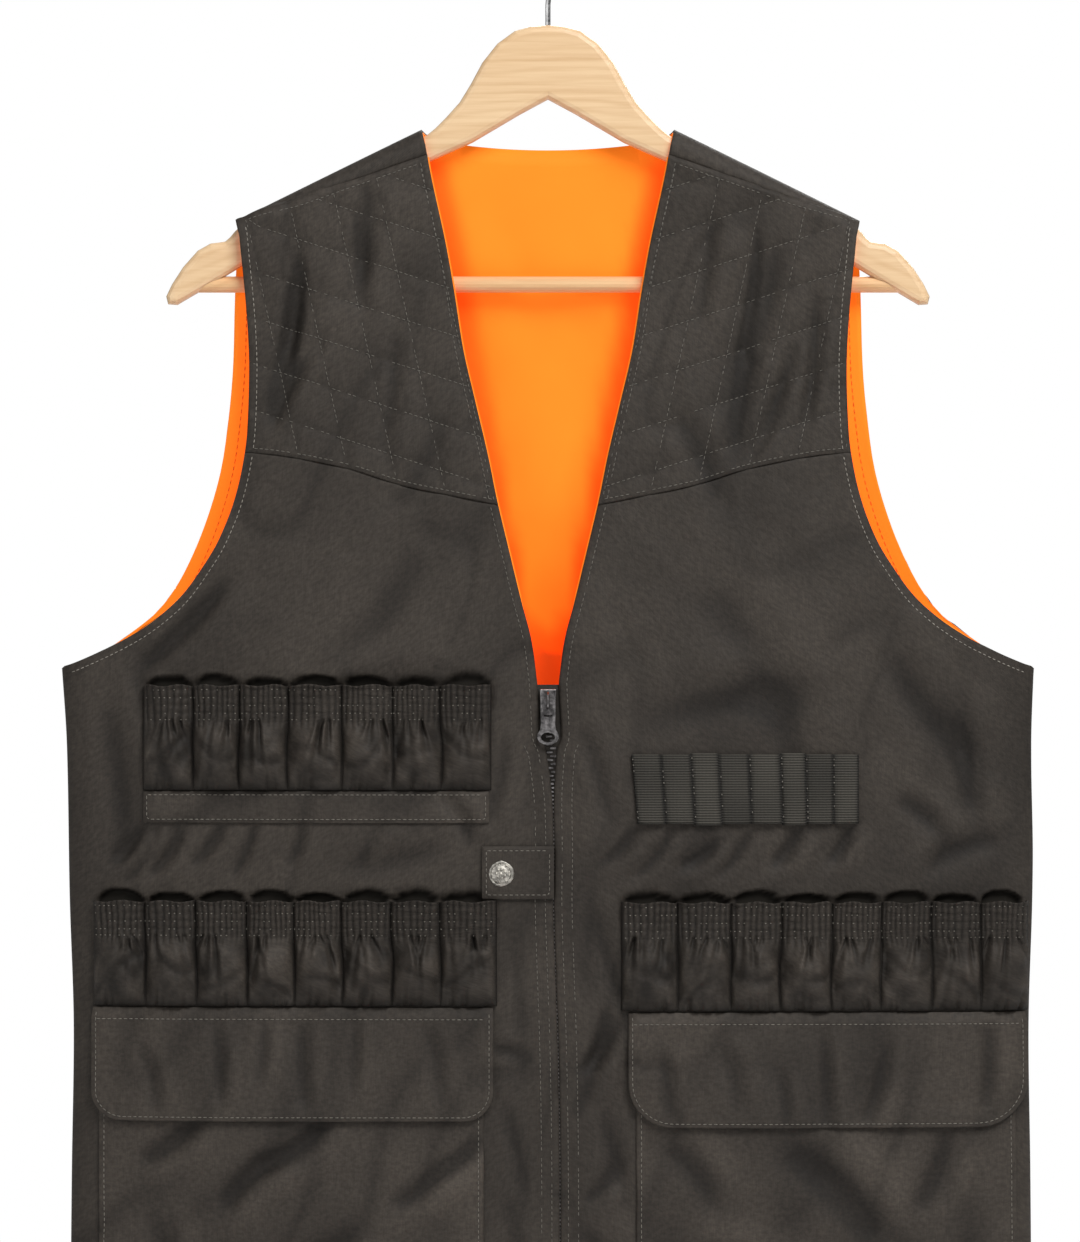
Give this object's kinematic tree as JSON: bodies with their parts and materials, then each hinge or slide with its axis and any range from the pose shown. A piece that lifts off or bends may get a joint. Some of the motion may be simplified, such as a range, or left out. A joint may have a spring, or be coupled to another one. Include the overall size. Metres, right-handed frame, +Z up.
{
  "type": "reversible hunting gilet on a wooden hanger",
  "caption": "Sleeveless zip-front field gilet with quilted yokes, gathered cartridge loops, flap pockets and an orange reverse side, hung flat on a wooden hanger with a wire hook.",
  "frame": {"origin": "inside of the top of the hanger's hook, where a rail carries it", "axes": "+Z up, -Y the front of the gilet, +X the wearer's left"},
  "size_m": [0.5678, 0.0721, 0.8707],
  "materials": {
    "shell_cloth": "matt woven cotton, dark warm grey-olive",
    "orange_cloth": "smooth woven polyester, safety orange",
    "gathered_cloth": "matt cotton gathered on elastic",
    "pale_wood": "clear satin varnish",
    "hook_steel": "plated wire",
    "zip_metal": "gunmetal plated",
    "snap_metal": "antique nickel"
  },
  "bodies": {
    "garment": {"yoke_right": "shell_cloth", "yoke_left": "shell_cloth", "front_right": "shell_cloth", "front_left": "shell_cloth", "back": "shell_cloth", "lining_back": "orange_cloth", "lining_front_right": "orange_cloth", "lining_front_left": "orange_cloth", "loop_row_chest": "gathered_cloth", "loop_row_right": "gathered_cloth", "loop_row_left": "gathered_cloth", "loop_band_chest": "shell_cloth", "flap_right": "shell_cloth", "flap_left": "shell_cloth", "pocket_right": "shell_cloth", "pocket_left": "shell_cloth", "webbing_loops": "gathered_cloth", "closing_tab": "shell_cloth", "snap_cap": "snap_metal", "zip_chain": "zip_metal", "zip_slider": "zip_metal", "hanger_arms": "pale_wood", "hanger_bar": "pale_wood", "hanger_hook": "hook_steel"},
    "pull": {"zip_pull": "zip_metal"}
  },
  "joints": [
    {"name": "pull_swing", "type": "hinge", "parent": "garment", "child": "pull", "pos_m": [0, -0.0301, -0.4656], "axis": [-1, 0, 0], "range_deg": [0, 150]}
  ]
}
